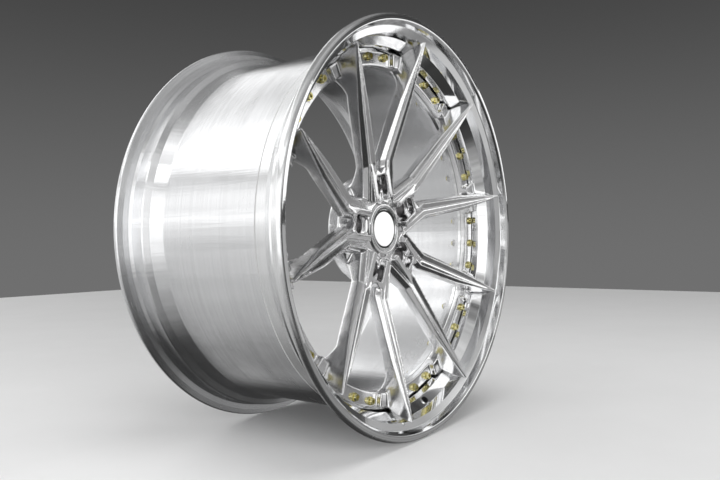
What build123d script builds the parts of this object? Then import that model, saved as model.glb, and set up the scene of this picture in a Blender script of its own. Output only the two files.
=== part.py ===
"""Three-piece forged racing wheel rim, 20 x 10J, with a ten-spoke centre.

Frame: origin at the wheel's centre, spin axis along Y, outer face towards -Y, +Z up.
Depths are measured along +Y from the plane of the front flange, and angles run
anticlockwise from +X as seen from the front.
"""

from build123d import *
from math import atan2, cos, degrees, radians, sin
import os

# ---- driving dimensions, millimetres and degrees -------------------------------------
RIM_RADIUS = 271.5
WIDTH = 275.5
BEAD_SEAT_RADIUS = 253.8
FLANGE_WIDTH = 11.0
FLANGE_ROUND = 5.4
EDGE_ROUND = 2.4
SEAT_ROUND = 2.0
WALL_ROUND = 1.2
DROP_ROUND = 8.0

PAIR_COUNT = 5
PAIR_START_ANGLE = 103.0
PAIR_PITCH = 360.0 / PAIR_COUNT
SPOKE_HALF_ANGLE = 18.4
TIP_RADIUS = 250.0
TIP_DEPTH = 6.0
KNEE_X = 90.0
KNEE_OFFSET = 20.5
KNEE_DEPTH = 50.0
LEG_START_X = 40.0
LEG_START_DEPTH = 58.0
KNEE_HALF_WIDTH = 14.5
MIDDLE_DEPTH = 27.5
MIDDLE_HALF_WIDTH = 11.2
MIDDLE_BEVEL = 4.6
MIDDLE_GROOVE = 3.0
MIDDLE_FLARE = 1.0
FOOT_RIDGE_DEPTH = 12.6
FOOT_HALF_WIDTH = 5.0
FOOT_FLARE = 9.0
FOOT_SHARE = 0.84
FOOT_BEVEL = 2.8
FOOT_GROOVE = 1.6
TIP_HALF_WIDTH = 1.3
TIP_BEVEL = 1.2
TIP_GROOVE = 0.2
LEG_BEVEL = 6.5
LEG_GROOVE = 3.8
CREST_SHARE = 0.6
CHANNEL_SHARE = 0.14
WEB_BOTTOM_DEPTH = 95.0
CROTCH_X = 76.5
CROTCH_DEPTH = 53.0

HUB_FACE_DEPTH = 64.0
HUB_FACE_RADIUS = 59.0
CAP_FACE_DEPTH = 60.0
PAD_RADIUS = 73.0
PAD_FRONT_DEPTH = 80.0
PAD_DEPTH = 100.0
PAD_POCKET_RADIUS = 55.0
PAD_POCKET_SIZE = (20.0, 26.0)
PAD_POCKET_DEPTH = 9.0
PAD_POCKET_ROUND = 4.0
BACK_START = (80.0, 76.5)
HUB_BORE_RADIUS = 33.3
HUB_BORE_LENGTH = 14.0
CAP_BORE_RADIUS = 27.5

LUG_CIRCLE_RADIUS = 56.0
LUG_HOLE_RADIUS = 7.5
LUG_POCKET_RADIUS = 11.6
LUG_SEAT_DEPTH = 83.0
LUG_SEAT_RADIUS = 10.6
INSERT_LENGTH = 9.0
INSERT_RISE = 1.5
SEAT_CONE_DEPTH = 5.0
SEAT_CONE_ANGLE = 30.0
RECESS_FLOOR_DEPTH = 65.0
RECESS_INNER_X = 38.0
RECESS_OUTER_X = 73.0
RECESS_HALF_WIDTH = 12.0
RECESS_ROUND = 5.0

BOLT_CIRCLE_RADIUS = 226.0
BOLT_STEP_ANGLE = 9.0
BOLTS_PER_WINDOW = 3
BOLT_RADIUS = 3.5
BOLT_HOLE_RADIUS = 3.7
BOLT_HEAD_RADIUS = 4.4
BOLT_FLANGE_RADIUS = 5.7
BOLT_FLANGE = 1.6
BOLT_HEAD = 5.6
BOLT_SOCKET_RADIUS = 2.4
BOLT_SOCKET_DEPTH = 2.6
BOLT_LENGTH = 31.0
NUT_RADIUS = 6.2
NUT_HEIGHT = 6.5
NUT_FLANGE_RADIUS = 5.5
NUT_FLANGE = 1.5
WASHER = 1.2
RING_INNER_RADIUS = 214.5
RING_OUTER_RADIUS = 233.3
RING_DEPTH = 49.0
FOOT_DEPTH = 41.0
WINDOW_POCKET_ANGLE = 25.0
LIP_FLANGE_DEPTH = 59.0
BARREL_FLANGE_DEPTH = 63.5
BARREL_FLANGE_BACK = 69.5

CAP_DISC_RADIUS = 23.4
CAP_TRIM_INNER = 25.7
CAP_TRIM_RADIUS = 29.9
CAP_PLATE_DEPTH = 61.6
CAP_BODY_RADIUS = 27.3
CAP_BODY_END = 81.0
CAP_CLIP_RADIUS = 24.1
CAP_SLOT_WIDTH = 3.5
CAP_RING_WIRE = 0.8
CAP_O_RING_WIRE = 0.75

DRUM_RADIUS = 239.5
DRUM_WALL = 5.5

VALVE_ANGLE = -77.0
VALVE_RADIUS = 243.3
VALVE_DEPTH = 34.2
VALVE_TILT = 39.0
VALVE_WALL = 5.93
VALVE_HOLE_RADIUS = 5.65
STEM_MOUTH = -0.9
STEM_RADIUS = 4.0
STEM_BORE = 2.3
STEM_END = -25.6
CORE_TOP = -2.3
VALVE_HEAD_RADIUS = 8.2
VALVE_HEAD_DEPTH = -9.53
VALVE_SEAL_RADIUS = 9.0
VALVE_NUT_RADIUS = 6.6
VALVE_NUT_END = -2.5
VALVE_CAP_RADIUS = 4.8
VALVE_CAP_HEIGHT = 1.9
KEY_SOCKET_RADIUS = 1.5
NOTCH_SIZE = (1.4, 1.2)
SPRING_RADIUS = 1.25
SPRING_WIRE = 0.15
SPRING_PITCH = 0.9
SPRING_LENGTH = 10.2

RUNNING_GAP = 0.05
CUT_MARGIN = 1.0
OUT = "parts"


# ---- shared helpers ------------------------------------------------------------------
def axial(depth):
    """Y coordinate of a depth behind the front flange."""
    return depth - WIDTH / 2


def face_plane(depth):
    """Plane parallel to the wheel's face at a depth, looking out of the wheel."""
    return Plane.XZ.offset(-axial(depth))


def polar(radius, angle):
    """Point on the wheel's face, as seen from the front."""
    return (radius * cos(radians(angle)), radius * sin(radians(angle)))


def turned(*points):
    """Half section of a turned part from (radius, depth) corners."""
    with BuildSketch(Plane.XY) as section:
        with BuildLine():
            Polyline(*[(radius, axial(depth)) for radius, depth in points], close=True)
        make_face()
    return section.sketch


def rounds_at(section, corners, radius):
    """Round the corners of a turned half section that lie nearest the given points."""
    with BuildSketch(Plane.XY) as rounded:
        add(section)
        picked = [
            rounded.vertices().sort_by_distance((at[0], axial(at[1]), 0))[0]
            for at in corners
        ]
        fillet(picked, radius=radius)
    return rounded.sketch


def save(piece, name):
    """Label a finished piece and write it as its own STEP file."""
    piece.part.label = name
    export_step(piece.part, f"{OUT}/{name}.step")


PAIR_ANGLES = [PAIR_START_ANGLE + PAIR_PITCH * k for k in range(PAIR_COUNT)]
WINDOW_ANGLES = [PAIR_START_ANGLE + PAIR_PITCH / 2 * k for k in range(2 * PAIR_COUNT)]
BOLT_ANGLES = [
    window + BOLT_STEP_ANGLE * (k - (BOLTS_PER_WINDOW - 1) / 2)
    for window in WINDOW_ANGLES
    for k in range(BOLTS_PER_WINDOW)
]
BOLT_SPOTS = [polar(BOLT_CIRCLE_RADIUS, angle) for angle in BOLT_ANGLES]
LUG_SPOTS = [polar(LUG_CIRCLE_RADIUS, angle) for angle in PAIR_ANGLES]


def at_bolts(depth, radius, sides=0):
    """Discs, or twelve-point and six-sided outlines, at every bolt on one plane."""
    with BuildSketch(face_plane(depth)) as outline:
        with Locations(*BOLT_SPOTS):
            if sides:
                RegularPolygon(radius, 6)
            if sides == 12:
                RegularPolygon(radius, 6, rotation=30)
            if not sides:
                Circle(radius)
    return outline.sketch


# ---- rim halves ----------------------------------------------------------------------
def valve_plane(height=0.0):
    """Plane across the valve's axis, a height above the lip's wall, facing its cap."""
    across = Vector(-sin(radians(VALVE_ANGLE)), 0, cos(radians(VALVE_ANGLE)))
    radial = Vector(cos(radians(VALVE_ANGLE)), 0, sin(radians(VALVE_ANGLE)))
    out = radial * -cos(radians(VALVE_TILT)) + Vector(0, -sin(radians(VALVE_TILT)), 0)
    spot = radial * VALVE_RADIUS + Vector(0, axial(VALVE_DEPTH), 0)
    return Plane(origin=spot + out * height, x_dir=across, z_dir=out)


def build_outer_lip():
    """Stepped outer half: flange, bead seat, valve wall and inward bolt flange."""
    section = turned(
        (262.5, 0.0),
        (RIM_RADIUS, 0.0),
        (RIM_RADIUS, 8.0),
        (264.0, FLANGE_WIDTH),
        (257.0, FLANGE_WIDTH + 1.0),
        (BEAD_SEAT_RADIUS, 14.5),
        (252.4, 29.5),
        (253.2, 31.5),
        (251.5, 33.5),
        (243.0, 44.0),
        (240.5, 50.0),
        (240.5, BARREL_FLANGE_DEPTH),
        (RING_INNER_RADIUS, BARREL_FLANGE_DEPTH),
        (RING_INNER_RADIUS, LIP_FLANGE_DEPTH),
        (236.0, LIP_FLANGE_DEPTH),
        (236.4, 48.0),
        (238.6, 40.0),
        (248.0, 28.4),
        (249.2, 15.0),
        (258.2, 11.0),
        (259.4, 3.0),
    )
    section = rounds_at(section, [(RIM_RADIUS, 0.0)], FLANGE_ROUND)
    section = rounds_at(section, [(262.5, 0.0), (RIM_RADIUS, 8.0)], EDGE_ROUND)
    section = rounds_at(section, [(258.2, 11.0), (238.6, 40.0), (248.0, 28.4)], WALL_ROUND)
    seat_corners = [(257.0, FLANGE_WIDTH + 1.0), (BEAD_SEAT_RADIUS, 14.5)]
    section = rounds_at(section, seat_corners, SEAT_ROUND)
    with BuildPart() as outer_lip:
        revolve(section, axis=Axis.Y)
        holes = at_bolts(LIP_FLANGE_DEPTH - CUT_MARGIN, BOLT_HOLE_RADIUS)
        drilled = BARREL_FLANGE_DEPTH - LIP_FLANGE_DEPTH + 2 * CUT_MARGIN
        extrude(holes, amount=-drilled, mode=Mode.SUBTRACT)
        with BuildSketch(valve_plane(VALVE_WALL)) as valve_hole:
            Circle(VALVE_HOLE_RADIUS)
        extrude(amount=-3 * VALVE_WALL, mode=Mode.SUBTRACT)
    save(outer_lip, "outer_lip")


def build_inner_barrel():
    """Inner half: bolt flange, long drum, drop slope, rear bead seat and rear flange."""
    inside = DRUM_RADIUS - DRUM_WALL
    section = turned(
        (RING_INNER_RADIUS, BARREL_FLANGE_DEPTH),
        (DRUM_RADIUS - 0.6, BARREL_FLANGE_DEPTH),
        (DRUM_RADIUS, BARREL_FLANGE_DEPTH + 0.6),
        (DRUM_RADIUS, 218.0),
        (246.5, 236.0),
        (253.4, 240.5),
        (254.6, 242.5),
        (253.2, 245.0),
        (BEAD_SEAT_RADIUS, WIDTH - 14.5),
        (257.0, WIDTH - FLANGE_WIDTH - 1.0),
        (264.0, WIDTH - FLANGE_WIDTH),
        (RIM_RADIUS, WIDTH - 8.0),
        (RIM_RADIUS, WIDTH),
        (262.5, WIDTH),
        (259.4, WIDTH - 3.0),
        (258.2, WIDTH - 11.0),
        (249.2, WIDTH - 15.0),
        (248.8, 243.5),
        (241.5, 238.0),
        (inside, 219.5),
        (inside, BARREL_FLANGE_BACK + 1.2),
        (inside - 1.2, BARREL_FLANGE_BACK),
        (RING_INNER_RADIUS, BARREL_FLANGE_BACK),
    )
    section = rounds_at(section, [(RIM_RADIUS, WIDTH)], FLANGE_ROUND)
    section = rounds_at(section, [(262.5, WIDTH), (RIM_RADIUS, WIDTH - 8.0)], EDGE_ROUND)
    section = rounds_at(section, [(DRUM_RADIUS, 218.0), (inside, 219.5)], DROP_ROUND)
    section = rounds_at(section, [(258.2, WIDTH - 11.0), (254.6, 242.5)], WALL_ROUND)
    with BuildPart() as inner_barrel:
        revolve(section, axis=Axis.Y)
        holes = at_bolts(BARREL_FLANGE_DEPTH - CUT_MARGIN, BOLT_HOLE_RADIUS)
        drilled = BARREL_FLANGE_BACK - BARREL_FLANGE_DEPTH + 2 * CUT_MARGIN
        extrude(holes, amount=-drilled, mode=Mode.SUBTRACT)
    save(inner_barrel, "inner_barrel")


def build_rim_seal():
    """Bead of sealant in the outer corner where the two rim halves meet."""
    with BuildPart() as rim_seal:
        revolve(
            turned(
                (DRUM_RADIUS + 0.02, BARREL_FLANGE_DEPTH + 0.02),
                (240.4, BARREL_FLANGE_DEPTH + 0.02),
                (DRUM_RADIUS + 0.02, BARREL_FLANGE_DEPTH + 3.0),
            ),
            axis=Axis.Y,
        )
    save(rim_seal, "rim_seal")


# ---- forged centre -------------------------------------------------------------------
KNEE = Vector(KNEE_X, 0, KNEE_OFFSET)
TIP = Vector(
    TIP_RADIUS * cos(radians(SPOKE_HALF_ANGLE)), 0, TIP_RADIUS * sin(radians(SPOKE_HALF_ANGLE))
)
SPOKE_LEAN = degrees(atan2(TIP.Z - KNEE.Z, TIP.X - KNEE.X))


def spoke_section(spot, heading, half_width, ridge_depth, bevel, groove, flare):
    """Cross-section of a spoke: two ridges with a channel between and a bevel outside.

    The section stands across `heading` degrees at `spot`; `flare` widens its deep end.
    """
    along = Vector(cos(radians(heading)), 0, sin(radians(heading)))
    across = Vector(-along.Z, 0, along.X)
    ridge = -axial(ridge_depth)
    bottom = -axial(WEB_BOTTOM_DEPTH)
    crest = half_width * CREST_SHARE
    channel = half_width * CHANNEL_SHARE
    with BuildSketch(Plane(origin=spot, x_dir=across, z_dir=along)) as section:
        with BuildLine():
            Polyline(
                (-half_width, ridge - bevel),
                (-crest, ridge),
                (-channel, ridge - groove),
                (channel, ridge - groove),
                (crest, ridge),
                (half_width, ridge - bevel),
                (half_width + flare, bottom),
                (-half_width - flare, bottom),
                close=True,
            )
        make_face()
    return section.sketch


def along_spoke(share, depth, half_width, bevel, groove, flare):
    """Spoke section at a share of the way from the knee to the tip."""
    spot = KNEE + (TIP - KNEE) * share
    return spoke_section(spot, SPOKE_LEAN, half_width, depth, bevel, groove, flare)


def build_pair():
    """A pair of spokes about +X: legs beside the lug recess, knees and pointed blades."""
    leg_start = Vector(LEG_START_X, 0, KNEE_OFFSET)
    leg_end = spoke_section(
        leg_start, 0, KNEE_HALF_WIDTH, LEG_START_DEPTH, LEG_BEVEL, LEG_GROOVE, 0
    )
    knee = spoke_section(
        KNEE, SPOKE_LEAN / 2, KNEE_HALF_WIDTH, KNEE_DEPTH, LEG_BEVEL, LEG_GROOVE, 0
    )
    middle = along_spoke(
        0.5, MIDDLE_DEPTH, MIDDLE_HALF_WIDTH, MIDDLE_BEVEL, MIDDLE_GROOVE, MIDDLE_FLARE
    )
    foot = along_spoke(
        FOOT_SHARE, FOOT_RIDGE_DEPTH, FOOT_HALF_WIDTH, FOOT_BEVEL, FOOT_GROOVE, FOOT_FLARE
    )
    tip = along_spoke(1.0, TIP_DEPTH, TIP_HALF_WIDTH, TIP_BEVEL, TIP_GROOVE, FOOT_FLARE)
    with BuildSketch(face_plane(WEB_BOTTOM_DEPTH)) as crotch:
        with BuildLine():
            Polyline(
                (LEG_START_X, 0),
                (LEG_START_X, KNEE_OFFSET),
                (KNEE_X, KNEE_OFFSET),
                (CROTCH_X, 0),
                close=True,
            )
        make_face()
    with BuildPart() as pair:
        loft([leg_end, knee], ruled=True)
        loft([knee, middle, foot, tip], ruled=True)
        extrude(crotch.sketch, amount=WEB_BOTTOM_DEPTH - CROTCH_DEPTH)
        mirror(about=Plane.XY)
    return pair.part


def centre_envelope():
    """Half section that the spokes are turned to: pointed ends, bolt ring and back."""
    with BuildSketch(Plane.XY) as envelope:
        with BuildLine():
            Polyline(
                (BACK_START[0], axial(BACK_START[1])),
                (PAD_RADIUS - 2.0, axial(PAD_FRONT_DEPTH + 4.0)),
                (PAD_RADIUS - 2.0, axial(WEB_BOTTOM_DEPTH - 2.0)),
                (0, axial(WEB_BOTTOM_DEPTH - 2.0)),
                (0, axial(-1)),
                (TIP_RADIUS + 2.0, axial(-1)),
                (TIP_RADIUS + 0.6, axial(TIP_DEPTH)),
                (247.2, axial(16)),
                (241.0, axial(31)),
                (RING_OUTER_RADIUS - 0.5, axial(FOOT_DEPTH + 2.0)),
                (RING_OUTER_RADIUS - 0.5, axial(LIP_FLANGE_DEPTH - 1.5)),
                (RING_INNER_RADIUS + 1.0, axial(LIP_FLANGE_DEPTH - 1.5)),
            )
            flare = ThreePointArc(
                (RING_INNER_RADIUS + 1.0, axial(LIP_FLANGE_DEPTH - 1.5)),
                (206.0, axial(48.6)),
                (191.0, axial(43.0)),
            )
            Line(flare @ 1, (100.0, axial(66.5)))
            ThreePointArc(
                (100.0, axial(66.5)),
                (89.5, axial(70.5)),
                (BACK_START[0], axial(BACK_START[1])),
            )
        make_face()
    return envelope.sketch


def build_hub():
    """Turned hub: cap boss, hub face, mounting pad and the bore behind the cap."""
    section = turned(
        (CAP_BORE_RADIUS, CAP_FACE_DEPTH + 2.5),
        (CAP_TRIM_RADIUS + 0.3, CAP_FACE_DEPTH + 2.5),
        (CAP_TRIM_RADIUS + 0.3, CAP_FACE_DEPTH - 0.4),
        (34.0, CAP_FACE_DEPTH - 0.4),
        (36.5, CAP_FACE_DEPTH + 2.0),
        (HUB_FACE_RADIUS - 2.0, HUB_FACE_DEPTH),
        (HUB_FACE_RADIUS, HUB_FACE_DEPTH + 2.5),
        (HUB_FACE_RADIUS + 1.0, PAD_FRONT_DEPTH - 4.0),
        (PAD_RADIUS - 2.0, PAD_FRONT_DEPTH),
        (PAD_RADIUS, PAD_FRONT_DEPTH + 1.5),
        (PAD_RADIUS, PAD_DEPTH - 1.0),
        (PAD_RADIUS - 1.0, PAD_DEPTH),
        (HUB_BORE_RADIUS + 1.0, PAD_DEPTH),
        (HUB_BORE_RADIUS, PAD_DEPTH - 1.0),
        (HUB_BORE_RADIUS, PAD_DEPTH - 1.0 - HUB_BORE_LENGTH),
        (CAP_BORE_RADIUS, PAD_DEPTH - 1.0 - HUB_BORE_LENGTH),
    )
    with BuildPart() as hub:
        revolve(section, axis=Axis.Y)
    return hub.part


def build_bolt_ring():
    """Bolt ring of the centre: raised feet under the spokes and arc pockets between."""
    pocket = turned(
        (RING_INNER_RADIUS - 8.0, FOOT_DEPTH - 12.0),
        (RING_OUTER_RADIUS + 8.0, FOOT_DEPTH - 12.0),
        (RING_OUTER_RADIUS + 8.0, RING_DEPTH),
        (RING_INNER_RADIUS - 8.0, RING_DEPTH),
    )
    with BuildPart() as ring:
        revolve(
            turned(
                (RING_INNER_RADIUS, FOOT_DEPTH + 1.0),
                (RING_INNER_RADIUS + 1.0, FOOT_DEPTH),
                (RING_OUTER_RADIUS - 1.0, FOOT_DEPTH),
                (RING_OUTER_RADIUS, FOOT_DEPTH + 1.0),
                (RING_OUTER_RADIUS, LIP_FLANGE_DEPTH),
                (RING_INNER_RADIUS, LIP_FLANGE_DEPTH),
            ),
            axis=Axis.Y,
        )
        for window in WINDOW_ANGLES:
            revolve(
                pocket.rotate(Axis.Y, -(window + WINDOW_POCKET_ANGLE / 2)),
                axis=Axis.Y,
                revolution_arc=WINDOW_POCKET_ANGLE,
                mode=Mode.SUBTRACT,
            )
    return ring.part


def build_wheel_center():
    """Forged centre: hub, five spoke pairs, bolt ring, lug recesses and bolt holes."""
    pair = build_pair()
    recess_x = (RECESS_INNER_X + RECESS_OUTER_X) / 2
    with BuildPart() as wheel_center:
        for angle in PAIR_ANGLES:
            add(pair.rotate(Axis.Y, -angle))
        revolve(centre_envelope(), axis=Axis.Y, mode=Mode.INTERSECT)
        add(build_hub())
        add(build_bolt_ring())
        with BuildSketch(face_plane(RECESS_FLOOR_DEPTH)) as recesses:
            with PolarLocations(recess_x, PAIR_COUNT, PAIR_START_ANGLE):
                RectangleRounded(
                    RECESS_OUTER_X - RECESS_INNER_X, 2 * RECESS_HALF_WIDTH, RECESS_ROUND
                )
        extrude(amount=RECESS_FLOOR_DEPTH, mode=Mode.SUBTRACT)
        with BuildSketch(face_plane(LUG_SEAT_DEPTH)) as lug_pockets:
            with Locations(*LUG_SPOTS):
                Circle(LUG_POCKET_RADIUS)
        extrude(amount=LUG_SEAT_DEPTH - HUB_FACE_DEPTH + 8.0, mode=Mode.SUBTRACT)
        with BuildSketch(face_plane(LUG_SEAT_DEPTH - CUT_MARGIN)) as seat_bores:
            with Locations(*LUG_SPOTS):
                Circle(LUG_SEAT_RADIUS)
        extrude(amount=-(INSERT_LENGTH + CUT_MARGIN), mode=Mode.SUBTRACT)
        with BuildSketch(face_plane(LUG_SEAT_DEPTH)) as lug_holes:
            with Locations(*LUG_SPOTS):
                Circle(LUG_HOLE_RADIUS)
        extrude(amount=-(PAD_DEPTH - LUG_SEAT_DEPTH + CUT_MARGIN), mode=Mode.SUBTRACT)
        bolt_holes = at_bolts(RING_DEPTH - CUT_MARGIN, BOLT_HOLE_RADIUS)
        drilled = LIP_FLANGE_DEPTH - RING_DEPTH + 2 * CUT_MARGIN
        extrude(bolt_holes, amount=-drilled, mode=Mode.SUBTRACT)
        with BuildSketch(face_plane(PAD_DEPTH)) as pad_pockets:
            with PolarLocations(0, PAIR_COUNT, PAIR_START_ANGLE + PAIR_PITCH / 2):
                with Locations((PAD_POCKET_RADIUS, 0)):
                    RectangleRounded(PAD_POCKET_SIZE[0], PAD_POCKET_SIZE[1], PAD_POCKET_ROUND)
        extrude(amount=PAD_POCKET_DEPTH, mode=Mode.SUBTRACT)
    save(wheel_center, "wheel_center")


def build_lug_seat_inserts():
    """Hardened seat bushes for the wheel bolts, with a cone facing the front."""
    with BuildPart() as lug_seat_inserts:
        with BuildSketch(face_plane(LUG_SEAT_DEPTH + INSERT_LENGTH)) as bushes:
            with Locations(*LUG_SPOTS):
                Circle(LUG_SEAT_RADIUS - RUNNING_GAP)
        extrude(amount=INSERT_LENGTH + INSERT_RISE)
        with BuildSketch(face_plane(LUG_SEAT_DEPTH + INSERT_LENGTH)) as bores:
            with Locations(*LUG_SPOTS):
                Circle(LUG_HOLE_RADIUS)
        extrude(amount=INSERT_LENGTH + INSERT_RISE, mode=Mode.SUBTRACT)
        with BuildSketch(face_plane(LUG_SEAT_DEPTH - INSERT_RISE)) as cones:
            with Locations(*LUG_SPOTS):
                Circle(LUG_SEAT_RADIUS - 1.0)
        extrude(amount=-SEAT_CONE_DEPTH, taper=SEAT_CONE_ANGLE, mode=Mode.SUBTRACT)
    save(lug_seat_inserts, "lug_seat_inserts")


# ---- assembly bolts ------------------------------------------------------------------
def build_assembly_bolts():
    """Twelve-point flanged bolts that clamp the centre to both rim halves."""
    with BuildPart() as assembly_bolts:
        extrude(at_bolts(RING_DEPTH, BOLT_FLANGE_RADIUS), amount=BOLT_FLANGE)
        extrude(at_bolts(RING_DEPTH, BOLT_HEAD_RADIUS, sides=12), amount=BOLT_HEAD)
        extrude(at_bolts(RING_DEPTH, BOLT_RADIUS), amount=-BOLT_LENGTH)
        sockets = at_bolts(RING_DEPTH - BOLT_HEAD, BOLT_SOCKET_RADIUS, sides=6)
        extrude(sockets, amount=-BOLT_SOCKET_DEPTH, mode=Mode.SUBTRACT)
    save(assembly_bolts, "assembly_bolts")


def build_assembly_washers():
    """Flat washers under the nuts on the barrel's flange."""
    with BuildPart() as assembly_washers:
        extrude(at_bolts(BARREL_FLANGE_BACK, BOLT_FLANGE_RADIUS), amount=-WASHER)
        extrude(at_bolts(BARREL_FLANGE_BACK, BOLT_HOLE_RADIUS), amount=-WASHER, mode=Mode.SUBTRACT)
    save(assembly_washers, "assembly_washers")


def build_assembly_nuts():
    """Flanged hexagon nuts on the bolts' ends behind the barrel's flange."""
    seat = BARREL_FLANGE_BACK + WASHER
    bore = BOLT_RADIUS + RUNNING_GAP
    with BuildPart() as assembly_nuts:
        extrude(at_bolts(seat, NUT_FLANGE_RADIUS), amount=-NUT_FLANGE)
        extrude(at_bolts(seat, NUT_RADIUS, sides=6), amount=-NUT_HEIGHT)
        extrude(at_bolts(seat, bore), amount=-NUT_HEIGHT, mode=Mode.SUBTRACT)
    save(assembly_nuts, "assembly_nuts")


# ---- centre cap ----------------------------------------------------------------------
def build_cap_body():
    """Plastic cap body: face plate and slotted clip fingers that grip the bore."""
    groove = CAP_CLIP_RADIUS + 1.1
    with BuildPart() as cap_body:
        revolve(
            turned(
                (0, CAP_PLATE_DEPTH),
                (CAP_TRIM_INNER, CAP_PLATE_DEPTH),
                (CAP_TRIM_INNER, CAP_PLATE_DEPTH + 0.9),
                (CAP_BODY_RADIUS, CAP_PLATE_DEPTH + 0.9),
                (CAP_BODY_RADIUS, CAP_PLATE_DEPTH + 3.4),
                (CAP_BODY_RADIUS - 1.6, CAP_PLATE_DEPTH + 3.4),
                (CAP_BODY_RADIUS - 1.6, CAP_PLATE_DEPTH + 6.0),
                (CAP_BODY_RADIUS, CAP_PLATE_DEPTH + 6.0),
                (CAP_BODY_RADIUS, CAP_BODY_END),
                (CAP_CLIP_RADIUS, CAP_BODY_END),
                (CAP_CLIP_RADIUS, CAP_BODY_END - 2.0),
                (groove, CAP_BODY_END - 2.0),
                (groove, CAP_BODY_END - 4.0),
                (CAP_CLIP_RADIUS, CAP_BODY_END - 4.0),
                (CAP_CLIP_RADIUS, CAP_PLATE_DEPTH + 2.5),
                (0, CAP_PLATE_DEPTH + 2.5),
            ),
            axis=Axis.Y,
        )
        with BuildSketch(face_plane(CAP_BODY_END + 1.0)) as slots:
            with PolarLocations(0, 4):
                Rectangle(2 * CAP_BODY_RADIUS + 4.0, CAP_SLOT_WIDTH)
        extrude(amount=CAP_BODY_END - CAP_PLATE_DEPTH - 7.5, mode=Mode.SUBTRACT)
    save(cap_body, "cap_body")


def build_cap_trim_ring():
    """Bright ring round the cap's face, seated in the hub's counterbore."""
    front = CAP_FACE_DEPTH - 0.2
    with BuildPart() as cap_trim_ring:
        revolve(
            turned(
                (CAP_TRIM_INNER + 0.05, front + 0.8),
                (CAP_TRIM_INNER + 0.9, front),
                (CAP_TRIM_RADIUS - 0.9, front),
                (CAP_TRIM_RADIUS, front + 0.9),
                (CAP_TRIM_RADIUS, CAP_FACE_DEPTH + 2.45),
                (CAP_TRIM_INNER + 0.05, CAP_FACE_DEPTH + 2.45),
            ),
            axis=Axis.Y,
        )
    save(cap_trim_ring, "cap_trim_ring")


def build_cap_face_disc():
    """Plain white face disc, bonded to the cap's plate."""
    with BuildPart() as cap_face_disc:
        revolve(
            turned(
                (0, CAP_FACE_DEPTH - 0.4),
                (CAP_DISC_RADIUS - 4.0, CAP_FACE_DEPTH - 0.3),
                (CAP_DISC_RADIUS - 0.7, CAP_FACE_DEPTH),
                (CAP_DISC_RADIUS, CAP_FACE_DEPTH + 0.6),
                (CAP_DISC_RADIUS, CAP_PLATE_DEPTH),
                (0, CAP_PLATE_DEPTH),
            ),
            axis=Axis.Y,
        )
    save(cap_face_disc, "cap_face_disc")


def torus_ring(radius, depth, wire):
    """Half section of a round ring."""
    with BuildSketch(Plane.XY) as section:
        with Locations((radius, axial(depth))):
            Circle(wire)
    return section.sketch


def build_cap_snap_ring():
    """Wire ring inside the clip fingers that springs them against the bore."""
    with BuildPart() as cap_snap_ring:
        ring_radius = CAP_CLIP_RADIUS + 0.15
        revolve(torus_ring(ring_radius, CAP_BODY_END - 3.0, CAP_RING_WIRE), axis=Axis.Y)
    save(cap_snap_ring, "cap_snap_ring")


def build_cap_o_ring():
    """Rubber ring in the cap body's groove that stops rattle and water."""
    with BuildPart() as cap_o_ring:
        ring_radius = CAP_BODY_RADIUS - 0.62
        revolve(torus_ring(ring_radius, CAP_PLATE_DEPTH + 4.7, CAP_O_RING_WIRE), axis=Axis.Y)
    save(cap_o_ring, "cap_o_ring")


# ---- valve ---------------------------------------------------------------------------
def valve_turned(*points):
    """Solid of revolution about the valve's axis from (radius, height) corners."""
    base = valve_plane()
    profile_plane = Plane(origin=base.origin, x_dir=base.x_dir, z_dir=-base.y_dir)
    with BuildSketch(profile_plane) as section:
        with BuildLine():
            Polyline(*points, close=True)
        make_face()
    return section.sketch


def valve_axis():
    """Line along the valve's stem, towards its cap."""
    base = valve_plane()
    return Axis(base.origin, base.z_dir)


def build_valve_stem():
    """Flush valve's stem: head on the tyre side, mouth just inside the lip's surface."""
    head_end = VALVE_HEAD_DEPTH - 2.2
    with BuildPart() as valve_stem:
        revolve(
            valve_turned(
                (1.0, STEM_END),
                (STEM_RADIUS, STEM_END),
                (STEM_RADIUS, head_end),
                (VALVE_HEAD_RADIUS, head_end),
                (VALVE_HEAD_RADIUS, VALVE_HEAD_DEPTH),
                (STEM_RADIUS, VALVE_HEAD_DEPTH),
                (STEM_RADIUS, STEM_MOUTH - 0.2),
                (STEM_RADIUS - 0.2, STEM_MOUTH),
                (2.9, STEM_MOUTH),
                (2.9, CORE_TOP + 0.2),
                (STEM_BORE, CORE_TOP + 0.2),
                (STEM_BORE, CORE_TOP - 7.6),
                (1.9, CORE_TOP - 8.2),
                (1.9, STEM_END + 2.8),
                (1.0, STEM_END + 1.6),
            ),
            axis=valve_axis(),
        )
    save(valve_stem, "valve_stem")


def build_valve_base_seal():
    """Rubber seal under the stem's head, with a collar in the valve hole."""
    inner = STEM_RADIUS + RUNNING_GAP
    seat = -VALVE_WALL - 0.35
    with BuildPart() as valve_base_seal:
        revolve(
            valve_turned(
                (inner, seat - 3.2),
                (VALVE_SEAL_RADIUS, seat - 3.2),
                (VALVE_SEAL_RADIUS, seat),
                (VALVE_HOLE_RADIUS - RUNNING_GAP, seat),
                (VALVE_HOLE_RADIUS - RUNNING_GAP, VALVE_NUT_END - 0.2),
                (inner, VALVE_NUT_END - 0.2),
            ),
            axis=valve_axis(),
        )
    save(valve_base_seal, "valve_base_seal")


def build_valve_washer():
    """Thin washer between the flush nut's flange and the lip's wall."""
    with BuildPart() as valve_washer:
        revolve(
            valve_turned((5.7, 0.12), (6.7, 0.12), (6.7, 0.5), (5.7, 0.5)), axis=valve_axis()
        )
    save(valve_washer, "valve_washer")


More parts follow.
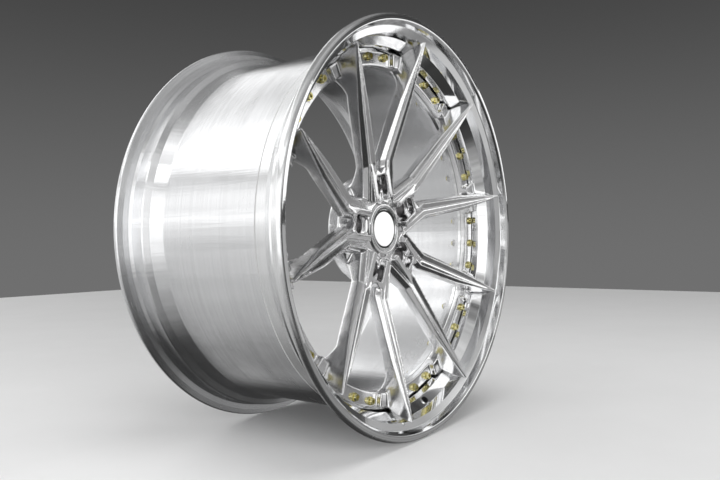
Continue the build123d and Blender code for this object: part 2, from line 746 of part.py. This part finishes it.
def build_valve_nut():
    """Flush round nut that clamps the valve, sunk in the hole, with spanner notches."""
    shank = VALVE_HOLE_RADIUS - 0.1
    with BuildPart() as valve_nut:
        revolve(
            valve_turned(
                (STEM_RADIUS + RUNNING_GAP, VALVE_NUT_END),
                (shank, VALVE_NUT_END),
                (shank, 0.54),
                (VALVE_NUT_RADIUS, 0.54),
                (VALVE_NUT_RADIUS, 0.9),
                (VALVE_NUT_RADIUS - 0.4, 1.3),
                (VALVE_CAP_RADIUS + 0.15, 1.3),
                (VALVE_CAP_RADIUS + 0.15, STEM_MOUTH - 0.1),
                (STEM_RADIUS + RUNNING_GAP, STEM_MOUTH - 0.1),
            ),
            axis=valve_axis(),
        )
        with BuildSketch(valve_plane(1.4)) as notches:
            with PolarLocations(VALVE_NUT_RADIUS - 0.4, 4):
                Rectangle(NOTCH_SIZE[0], NOTCH_SIZE[1])
        extrude(amount=-0.6, mode=Mode.SUBTRACT)
    save(valve_nut, "valve_nut")


def build_valve_core_body():
    """Brass core body screwed into the stem's bore, with a guide bore for its pin."""
    with BuildPart() as valve_core_body:
        revolve(
            valve_turned(
                (0.75, CORE_TOP - 7.2),
                (1.75, CORE_TOP - 7.2),
                (1.75, CORE_TOP - 5.6),
                (1.45, CORE_TOP - 5.6),
                (1.45, CORE_TOP - 3.6),
                (STEM_BORE - RUNNING_GAP, CORE_TOP - 3.6),
                (STEM_BORE - RUNNING_GAP, CORE_TOP),
                (0.75, CORE_TOP),
            ),
            axis=valve_axis(),
        )
    save(valve_core_body, "valve_core_body")


def build_valve_core_seal():
    """Sealing sleeve round the core body, against the stem's bore."""
    outer = STEM_BORE - RUNNING_GAP
    low = CORE_TOP - 5.55
    high = CORE_TOP - 3.65
    with BuildPart() as valve_core_seal:
        revolve(
            valve_turned((1.5, low), (outer, low), (outer, high), (1.5, high)), axis=valve_axis()
        )
    save(valve_core_seal, "valve_core_seal")


def build_valve_core_pin():
    """Sprung pin with the sealing plug that closes the core's inner end."""
    plug = CORE_TOP - 9.4
    with BuildPart() as valve_core_pin:
        revolve(
            valve_turned(
                (0, plug),
                (1.6, plug),
                (1.6, plug + 1.8),
                (0.7, plug + 2.1),
                (0.7, CORE_TOP + 0.5),
                (0.5, CORE_TOP + 0.7),
                (0, CORE_TOP + 0.7),
            ),
            axis=valve_axis(),
        )
    save(valve_core_pin, "valve_core_pin")


def build_valve_core_spring():
    """Coil spring under the pin's plug that holds the core shut."""
    coil_start = valve_plane(STEM_END + 2.3).origin
    with BuildPart() as valve_core_spring:
        with BuildLine() as coil:
            Helix(SPRING_PITCH, SPRING_LENGTH, SPRING_RADIUS, coil_start, valve_axis().direction)
        with BuildSketch(Plane(origin=coil.line @ 0, z_dir=coil.line % 0)) as wire:
            Circle(SPRING_WIRE)
        sweep()
    save(valve_core_spring, "valve_core_spring")


def build_valve_cap():
    """Flush black cap: a button that plugs the stem's mouth, with a key socket."""
    with BuildPart() as valve_cap:
        revolve(
            valve_turned(
                (0, 0),
                (2.2, 0),
                (2.2, CORE_TOP + 0.5),
                (2.8, CORE_TOP + 0.5),
                (2.8, 0),
                (VALVE_CAP_RADIUS, 0),
                (VALVE_CAP_RADIUS, VALVE_CAP_HEIGHT - 0.5),
                (VALVE_CAP_RADIUS - 0.5, VALVE_CAP_HEIGHT),
                (0, VALVE_CAP_HEIGHT),
            ),
            axis=valve_axis(),
        )
        with BuildSketch(valve_plane(VALVE_CAP_HEIGHT)) as key_socket:
            RegularPolygon(KEY_SOCKET_RADIUS, 6)
        extrude(amount=-1.0, mode=Mode.SUBTRACT)
    save(valve_cap, "valve_cap")


def build_valve_cap_gasket():
    """Rubber ring under the valve cap that seals on the stem's mouth."""
    low = STEM_MOUTH + RUNNING_GAP
    with BuildPart() as valve_cap_gasket:
        revolve(
            valve_turned((2.95, low), (3.9, low), (3.9, -RUNNING_GAP), (2.95, -RUNNING_GAP)),
            axis=valve_axis(),
        )
    save(valve_cap_gasket, "valve_cap_gasket")


def main():
    """Build every piece and write its file."""
    os.makedirs(OUT, exist_ok=True)
    build_outer_lip()
    build_inner_barrel()
    build_rim_seal()
    build_wheel_center()
    build_lug_seat_inserts()
    build_assembly_bolts()
    build_assembly_washers()
    build_assembly_nuts()
    build_cap_body()
    build_cap_trim_ring()
    build_cap_face_disc()
    build_cap_snap_ring()
    build_cap_o_ring()
    build_valve_stem()
    build_valve_base_seal()
    build_valve_washer()
    build_valve_nut()
    build_valve_core_body()
    build_valve_core_seal()
    build_valve_core_pin()
    build_valve_core_spring()
    build_valve_cap()
    build_valve_cap_gasket()


main()
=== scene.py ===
"""Looks of a three-piece forged racing wheel rim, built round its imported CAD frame."""

import math

import bpy
import numpy as np
from mathutils import Matrix, Vector


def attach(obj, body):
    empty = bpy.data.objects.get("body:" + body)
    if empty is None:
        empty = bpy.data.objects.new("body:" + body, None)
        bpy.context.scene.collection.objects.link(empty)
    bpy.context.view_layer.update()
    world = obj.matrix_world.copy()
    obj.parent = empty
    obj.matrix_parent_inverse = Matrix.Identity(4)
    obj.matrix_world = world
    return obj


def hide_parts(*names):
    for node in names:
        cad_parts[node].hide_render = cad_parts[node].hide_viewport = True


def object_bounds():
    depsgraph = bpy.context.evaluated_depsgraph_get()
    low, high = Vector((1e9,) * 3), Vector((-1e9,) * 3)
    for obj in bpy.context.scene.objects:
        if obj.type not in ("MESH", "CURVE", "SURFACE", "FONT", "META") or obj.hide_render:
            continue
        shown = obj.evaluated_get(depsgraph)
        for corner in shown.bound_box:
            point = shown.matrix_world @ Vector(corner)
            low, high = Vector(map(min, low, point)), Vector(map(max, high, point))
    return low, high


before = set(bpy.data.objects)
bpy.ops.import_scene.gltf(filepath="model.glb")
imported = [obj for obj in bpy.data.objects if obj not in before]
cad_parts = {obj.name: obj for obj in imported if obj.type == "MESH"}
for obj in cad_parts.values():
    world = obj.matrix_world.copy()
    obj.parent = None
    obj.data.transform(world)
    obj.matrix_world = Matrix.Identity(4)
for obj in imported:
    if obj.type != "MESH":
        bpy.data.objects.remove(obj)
cad_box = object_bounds()

MM = 0.001


# ---- node graphs -----------------------------------------------------------------------
class Graph:
    """Adds nodes to a node tree; any input may be a plain value or another node's socket."""

    def __init__(self, tree):
        self.tree = tree

    def feed(self, socket, value):
        """Link the socket to another one, or set its plain value."""
        if isinstance(value, bpy.types.NodeSocket):
            self.tree.links.new(value, socket)
        elif value is not None:
            socket.default_value = value

    def node(self, kind, inputs=None, **settings):
        made = self.tree.nodes.new("ShaderNode" + kind)
        for name, value in settings.items():
            setattr(made, name, value)
        for name, value in (inputs or {}).items():
            self.feed(made.inputs[name], value)
        return made

    def math(self, operation, first, second=None, third=None, clamp=False):
        made = self.node("Math", operation=operation, use_clamp=clamp)
        for socket, value in zip(made.inputs, (first, second, third)):
            self.feed(socket, value)
        return made.outputs[0]

    def add(self, first, second):
        return self.math("ADD", first, second)

    def times(self, first, second):
        return self.math("MULTIPLY", first, second)

    def vector(self, x, y, z):
        return self.node("CombineXYZ", {"X": x, "Y": y, "Z": z}).outputs[0]

    def noise(self, vector, scale=1.0, detail=2.0, roughness=0.5):
        inputs = {"Vector": vector, "Scale": scale, "Detail": detail, "Roughness": roughness}
        return self.node("TexNoise", inputs).outputs["Fac"]

    def range(self, value, low, high, to_low=0.0, to_high=1.0, smooth=False):
        kind = "SMOOTHSTEP" if smooth else "LINEAR"
        inputs = {
            "Value": value,
            "From Min": low,
            "From Max": high,
            "To Min": to_low,
            "To Max": to_high,
        }
        return self.node("MapRange", inputs, interpolation_type=kind).outputs["Result"]

    def blend(self, share, first, second):
        """Colour between two colours."""
        made = self.node("Mix", data_type="RGBA")
        self.feed(made.inputs["Factor"], share)
        for name, value in (("A", first), ("B", second)):
            socket = next(s for s in made.inputs if s.name == name and s.type == "RGBA")
            self.feed(socket, value)
        return next(s for s in made.outputs if s.type == "RGBA")

    def band(self, value, low, high, softness):
        """1 between low and high and 0 outside, with soft edges."""
        rise = self.range(value, low - softness, low + softness, smooth=True)
        fall = self.range(value, high - softness, high + softness, 1.0, 0.0, smooth=True)
        return self.times(rise, fall)


def grey(value):
    return (value, value, value, 1.0)


class Finish(Graph):
    """A node material round a Principled surface, with its coordinates at hand."""

    def __init__(self, name):
        self.material = bpy.data.materials.new(name)
        self.material.use_nodes = True
        super().__init__(self.material.node_tree)
        self.surface = self.tree.nodes["Principled BSDF"]
        self.place = self.node("TexCoord").outputs["Object"]
        split = self.node("SeparateXYZ", {"Vector": self.place})
        self.x, self.depth, self.z = split.outputs
        squares = self.add(self.times(self.x, self.x), self.times(self.z, self.z))
        self.radius = self.math("SQRT", squares)
        self.angle = self.math("ARCTAN2", self.z, self.x)

    def paint(self, **inputs):
        """Set Principled inputs by name, with underscores for spaces."""
        for name, value in inputs.items():
            self.feed(self.surface.inputs[name.replace("_", " ")], value)

    def bump(self, height, distance, strength=1.0, normal=None):
        inputs = {"Height": height, "Distance": distance, "Strength": strength, "Normal": normal}
        return self.node("Bump", inputs).outputs["Normal"]

    def smudges(self, per_metre=18.0):
        """Slow, cloudy variation such as handling marks leave."""
        return self.noise(self.place, per_metre, 4.0, 0.6)


# ---- finishes --------------------------------------------------------------------------
SMOOTH_ROUGHNESS = 0.07
SATIN_ROUGHNESS = 0.24


def outward(made):
    """How far the surface faces away from the spin axis, from -1 to 1."""
    across = made.vector(
        made.math("DIVIDE", made.x, made.radius), 0.0, made.math("DIVIDE", made.z, made.radius)
    )
    facing = made.node("NewGeometry").outputs["Normal"]
    product = made.node("VectorMath", {0: across, 1: facing}, operation="DOT_PRODUCT")
    return product.outputs["Value"]


def turned_metal(name, tint, roughness, outer_roughness, groove_depth, grooves_per_mm, ripple):
    """Bare metal turned on a lathe: fine rings, stretched highlights and faint ripples.

    The tyre side, which faces away from the axis, has a finish of its own.
    """
    made = Finish(name)
    tyre_side = made.range(outward(made), 0.2, 0.45, smooth=True)
    grooves = grooves_per_mm / MM
    ring_place = made.vector(made.times(made.radius, grooves), made.times(made.depth, grooves), 0.0)
    rings = made.noise(ring_place, 1.0, 3.0, 0.65)
    wave_place = made.vector(made.times(made.angle, 22.0), made.times(made.depth, 4.0), 0.0)
    waves = made.noise(wave_place, 1.0, 3.0, 0.6)
    clouds = made.smudges()
    base_rough = made.range(tyre_side, 0.0, 1.0, roughness, outer_roughness)
    cloudy = made.range(clouds, 0.3, 0.7, 0.85, 1.15)
    rough = made.times(base_rough, made.add(cloudy, made.range(rings, 0.2, 0.8, -0.1, 0.1)))
    stretch = made.range(base_rough, SMOOTH_ROUGHNESS, SATIN_ROUGHNESS, 0.2, 0.95)
    dull = tuple(0.93 * c for c in tint[:3]) + (1.0,)
    tangent = made.node("Tangent", direction_type="RADIAL", axis="Y").outputs[0]
    waved = made.bump(waves, ripple)
    made.paint(
        Base_Color=made.blend(made.range(rings, 0.35, 0.65), tint, dull),
        Metallic=1.0,
        Roughness=rough,
        Anisotropic=stretch,
        Anisotropic_Rotation=0.25,
        Tangent=tangent,
        Normal=made.bump(rings, groove_depth, normal=waved),
    )
    return made.material


def machined_metal(name, tint, roughness):
    """Milled and hand-finished metal, brushed along the spokes."""
    made = Finish(name)
    brush_place = made.vector(
        made.times(made.radius, 40.0), made.times(made.angle, 260.0), made.times(made.depth, 300.0)
    )
    brush = made.noise(brush_place, 1.0, 3.0, 0.6)
    clouds = made.smudges(30.0)
    dull = tuple(0.9 * c for c in tint[:3]) + (1.0,)
    made.paint(
        Base_Color=made.blend(made.range(brush, 0.35, 0.7), tint, dull),
        Metallic=1.0,
        Roughness=made.add(
            made.range(clouds, 0.3, 0.7, 0.8 * roughness, 1.2 * roughness),
            made.range(brush, 0.3, 0.7, -0.03, 0.03),
        ),
        Normal=made.bump(brush, 0.006 * MM),
    )
    return made.material


def plated_steel(name, tint, other, roughness):
    """Plated fastener steel with an uneven, iridescent passivation."""
    made = Finish(name)
    patches = made.noise(made.place, 220.0, 3.0, 0.6)
    made.paint(
        Base_Color=made.blend(made.range(patches, 0.35, 0.65), tint, other),
        Metallic=1.0,
        Roughness=made.range(patches, 0.3, 0.7, 0.8 * roughness, 1.25 * roughness),
        Normal=made.bump(made.noise(made.place, 2500.0, 2.0), 0.02 * MM),
    )
    return made.material


def moulded(name, tint, other, roughness, grain, coat=0.0, shine=0.5):
    """Plastic or rubber with a moulded grain and a slight change of tone."""
    made = Finish(name)
    made.paint(
        Base_Color=made.blend(made.smudges(60.0), tint, other),
        Roughness=made.range(made.smudges(35.0), 0.3, 0.7, 0.85 * roughness, 1.15 * roughness),
        Specular_IOR_Level=shine,
        Coat_Weight=coat,
        Coat_Roughness=0.05,
        Normal=made.bump(made.noise(made.place, 3000.0, 2.0), grain * MM),
    )
    return made.material


FINISHES = {
    "polished_aluminium": turned_metal(
        "polished_aluminium",
        (0.93, 0.935, 0.94, 1.0),
        SMOOTH_ROUGHNESS,
        SATIN_ROUGHNESS,
        0.004 * MM,
        1.2,
        0.05 * MM,
    ),
    "turned_aluminium": turned_metal(
        "turned_aluminium",
        (0.90, 0.905, 0.915, 1.0),
        SATIN_ROUGHNESS,
        SATIN_ROUGHNESS,
        0.012 * MM,
        0.9,
        0.20 * MM,
    ),
    "machined_aluminium": machined_metal("machined_aluminium", (0.90, 0.90, 0.905, 1.0), 0.17),
    "gold_zinc_steel": plated_steel(
        "gold_zinc_steel", (0.88, 0.80, 0.42, 1.0), (0.50, 0.48, 0.25, 1.0), 0.15
    ),
    "bright_steel": plated_steel(
        "bright_steel", (0.62, 0.62, 0.63, 1.0), (0.72, 0.71, 0.69, 1.0), 0.3
    ),
    "hardened_steel": plated_steel(
        "hardened_steel", (0.30, 0.30, 0.32, 1.0), (0.40, 0.38, 0.36, 1.0), 0.38
    ),
    "spring_steel": plated_steel(
        "spring_steel", (0.45, 0.45, 0.47, 1.0), (0.35, 0.34, 0.33, 1.0), 0.33
    ),
    "brass": plated_steel("brass", (0.80, 0.58, 0.26, 1.0), (0.66, 0.46, 0.20, 1.0), 0.3),
    "black_anodised": plated_steel(
        "black_anodised", (0.02, 0.02, 0.022, 1.0), (0.035, 0.035, 0.038, 1.0), 0.35
    ),
    "black_plastic": moulded("black_plastic", grey(0.012), grey(0.022), 0.5, 0.02, shine=0.2),
    "white_plastic": moulded("white_plastic", grey(0.93), grey(0.88), 0.3, 0.004, coat=0.6),
    "black_rubber": moulded("black_rubber", grey(0.018), grey(0.03), 0.7, 0.03),
    "sealant": moulded("sealant", grey(0.45), grey(0.55), 0.5, 0.05),
}


def dress_nodes():
    """Give every CAD node the finish of its material slot."""
    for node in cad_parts.values():
        for slot in node.material_slots:
            slot.material = FINISHES[slot.material.name.split(".")[0]]


# ---- forged centre ---------------------------------------------------------------------
VOXEL = 1.1 * MM
SOFTEN_STEPS = 9
CENTRE_FACES = 190_000
CONCAVE_PULL = 0.35
CONVEX_PULL = 0.12
CAP_SEAT_RADIUS = 36.0 * MM


def points_of(mesh):
    flat = np.empty(len(mesh.vertices) * 3)
    mesh.vertices.foreach_get("co", flat)
    return flat.reshape(-1, 3)


def place_points(mesh, points):
    mesh.vertices.foreach_set("co", points.ravel())
    mesh.update()


def even_mesh(node, voxel):
    """Copy of a CAD node remeshed in small even quads."""
    copy = bpy.data.objects.new(node.name + "_copy", node.data.copy())
    bpy.context.scene.collection.objects.link(copy)
    weld = copy.modifiers.new("weld", "WELD")
    weld.merge_threshold = 0.001 * MM
    remesh = copy.modifiers.new("remesh", "REMESH")
    remesh.mode = "VOXEL"
    remesh.voxel_size = voxel
    solved = copy.evaluated_get(bpy.context.evaluated_depsgraph_get())
    mesh = bpy.data.meshes.new_from_object(solved)
    bpy.data.objects.remove(copy)
    return mesh


def thinned(mesh, faces):
    """The same surface with at most a number of triangles, most of them where it bends."""
    copy = bpy.data.objects.new(mesh.name + "_copy", mesh)
    bpy.context.scene.collection.objects.link(copy)
    thin = copy.modifiers.new("thin", "DECIMATE")
    thin.ratio = faces / (2 * len(mesh.polygons))
    solved = copy.evaluated_get(bpy.context.evaluated_depsgraph_get())
    light = bpy.data.meshes.new_from_object(solved)
    bpy.data.objects.remove(copy)
    return light


def soften(mesh, steps):
    """Fill inner corners with broad fillets while outer edges are only just rounded."""
    ends = np.empty(len(mesh.edges) * 2, np.int64)
    mesh.edges.foreach_get("vertices", ends)
    first, second = ends.reshape(-1, 2).T
    here = np.concatenate([first, second])
    there = np.concatenate([second, first])
    points = points_of(mesh)
    count = len(points)
    near = np.bincount(here, minlength=count)[:, None]
    normals = np.empty(count * 3)
    free = np.hypot(points[:, 0], points[:, 2]) > CAP_SEAT_RADIUS
    for _ in range(steps):
        mesh.vertex_normals.foreach_get("vector", normals)
        total = [np.bincount(here, points[there, k], count) for k in range(3)]
        pull = np.stack(total, axis=1) / near - points
        inward = np.einsum("ij,ij->i", pull, normals.reshape(-1, 3))
        share = np.where(inward > 0, CONCAVE_PULL, CONVEX_PULL) * free
        points = points + pull * share[:, None]
        place_points(mesh, points)


def build_centre():
    """Forged centre with its filleted inner corners and finely rounded edges."""
    mesh = even_mesh(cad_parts["wheel_center"], VOXEL)
    soften(mesh, SOFTEN_STEPS)
    mesh = thinned(mesh, CENTRE_FACES)
    mesh.materials.clear()
    mesh.materials.append(FINISHES["machined_aluminium"])
    for face in mesh.polygons:
        face.use_smooth = True
    centre = bpy.data.objects.new("forged_centre", mesh)
    bpy.context.scene.collection.objects.link(centre)
    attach(centre, "rim")
    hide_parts("wheel_center")


# ---- studio ----------------------------------------------------------------------------
# soft panels that the metal reflects: heading, half width, lowest, highest and softness in
# degrees, then strength
PANELS = (
    (118.0, 58.0, -2.0, 25.0, 9.0, 1.0),
    (110.0, 58.0, 25.0, 50.0, 6.0, 1.5),
    (118.0, 58.0, -28.0, -4.0, 9.0, 0.58),
    (112.0, 50.0, -50.0, -28.0, 9.0, 0.42),
    (208.0, 38.0, -12.0, 34.0, 9.0, 1.3),
    (208.0, 38.0, -42.0, -12.0, 9.0, 0.4),
    (-78.0, 36.0, 10.0, 60.0, 8.0, 0.35),
    (0.0, 180.0, 50.0, 90.0, 8.0, 0.22),
    (-30.0, 40.0, -45.0, -8.0, 8.0, 0.22),
    (200.0, 35.0, 30.0, 70.0, 8.0, 0.6),
)
# dark gaps across all panels, between two heights in degrees
GAPS = ((22.0, 25.6), (36.6, 38.6))
GAP_SOFTNESS = 0.8
GAP_LIGHT = 0.3
STREAKS_PER_DEGREE = 0.25
STREAK_DEPTH = 0.45
BACKDROP_LOW = 0.16
BACKDROP_HIGH = 0.05
ROOM_LOW = 0.04
ROOM_HIGH = 0.07

# name, place, aim, width, height, power and whether the metal reflects it
LIGHTS = (
    ("key", (-0.3, -0.6, 2.4), (0, 0, 0), 1.6, 1.6, 30.0, False),
    ("front", (-1.2, -2.2, 0.5), (0, 0, 0), 1.2, 1.2, 45.0, False),
    ("card", (0.64, -0.87, 0.26), (0, -0.1, 0.26), 1.2, 0.32, 1.35, True),
    ("low_card", (0.64, -0.87, -0.12), (0, -0.1, -0.12), 1.2, 0.32, 0.4, True),
)


def build_world():
    """Dim studio: plain grey behind the wheel, and soft light panels it reflects."""
    world = bpy.data.worlds.new("studio")
    bpy.context.scene.world = world
    world.use_nodes = True
    sky = Graph(world.node_tree)
    background = world.node_tree.nodes["Background"]
    direction = sky.node("TexCoord").outputs["Generated"]
    x, y, z = sky.node("SeparateXYZ", {"Vector": direction}).outputs
    height = sky.times(sky.math("ARCSINE", z), 180 / math.pi)
    heading = sky.times(sky.math("ARCTAN2", y, x), 180 / math.pi)

    def panel(centre, half_width, low, high, soft, strength):
        """Soft light panel about a compass heading, between two heights in degrees."""
        away = sky.math("WRAP", sky.math("SUBTRACT", heading, centre), 180.0, -180.0)
        across = sky.band(away, -half_width, half_width, soft)
        return sky.times(sky.times(across, sky.band(height, low, high, soft)), strength)

    light = sky.range(height, -30.0, 10.0, ROOM_LOW, ROOM_HIGH, smooth=True)
    for centre, half_width, low, high, soft, strength in PANELS:
        light = sky.add(light, panel(centre, half_width, low, high, soft, strength))
    for low, high in GAPS:
        gap = sky.band(height, low, high, GAP_SOFTNESS)
        light = sky.times(light, sky.range(gap, 0.0, 1.0, 1.0, GAP_LIGHT))
    streaks = sky.noise(sky.vector(sky.times(height, STREAKS_PER_DEGREE), 0.0, 0.0), 1.0, 4.0, 0.7)
    dim, bright = 1.0 - STREAK_DEPTH, 1.0 + STREAK_DEPTH
    light = sky.times(light, sky.range(streaks, 0.35, 0.65, dim, bright))
    seen = sky.range(height, -4.0, 25.0, BACKDROP_LOW, BACKDROP_HIGH, smooth=True)
    to_camera = sky.node("LightPath").outputs["Is Camera Ray"]
    colour = sky.blend(to_camera, sky.vector(light, light, light), sky.vector(seen, seen, seen))
    sky.feed(background.inputs["Color"], colour)


def build_lights():
    """Large soft lights: two light the floor and dull pieces, and the cards are only reflected."""
    for name, spot, aim, width, height, power, reflected in LIGHTS:
        data = bpy.data.lights.new(name, "AREA")
        data.shape = "RECTANGLE"
        data.size = width
        data.size_y = height
        data.energy = power
        light = bpy.data.objects.new(name, data)
        light.location = spot
        towards = Vector(aim) - Vector(spot)
        light.rotation_euler = towards.to_track_quat("-Z", "Y").to_euler()
        light.visible_glossy = reflected
        light.visible_diffuse = not reflected
        bpy.context.scene.collection.objects.link(light)


FLOOR_GAP = 0.2 * MM
FLOOR_SIZE = 3.0


def build_floor():
    """Plain pale floor under the wheel, which the metal doesn't reflect."""
    mesh = bpy.data.meshes.new("floor")
    low = cad_box[0].z - FLOOR_GAP
    turns = ((-1, -1), (1, -1), (1, 1), (-1, 1))
    corners = [(x * FLOOR_SIZE, y * FLOOR_SIZE, low) for x, y in turns]
    mesh.from_pydata(corners, [], [(0, 1, 2, 3)])
    floor = bpy.data.objects.new("floor", mesh)
    bpy.context.scene.collection.objects.link(floor)
    made = Finish("floor")
    made.paint(
        Base_Color=made.blend(made.smudges(6.0), grey(0.72), grey(0.78)),
        Roughness=0.55,
    )
    floor.data.materials.append(made.material)
    floor.visible_glossy = False


# ---- camera ----------------------------------------------------------------------------
CAMERA_SPOT = Vector((-0.759, -0.592, -0.022))
CAMERA_HEADING = Vector((0.8067, 0.5909, 0.0083))
CAMERA_ROLL = math.radians(-0.65)
CAMERA_LENS = 34.02


def build_camera():
    """Camera at the wheel's height, looking from in front and to its left."""
    data = bpy.data.cameras.new("camera")
    data.lens = CAMERA_LENS
    data.clip_start = 0.01
    camera = bpy.data.objects.new("camera", data)
    turn = CAMERA_HEADING.to_track_quat("-Z", "Y").to_matrix().to_4x4()
    roll = Matrix.Rotation(CAMERA_ROLL, 4, "Z")
    camera.matrix_world = Matrix.Translation(CAMERA_SPOT) @ turn @ roll
    bpy.context.scene.collection.objects.link(camera)
    bpy.context.scene.camera = camera


def main():
    dress_nodes()
    build_centre()
    build_world()
    build_floor()
    build_lights()
    build_camera()
    bpy.context.scene.view_settings.view_transform = "Standard"


main()
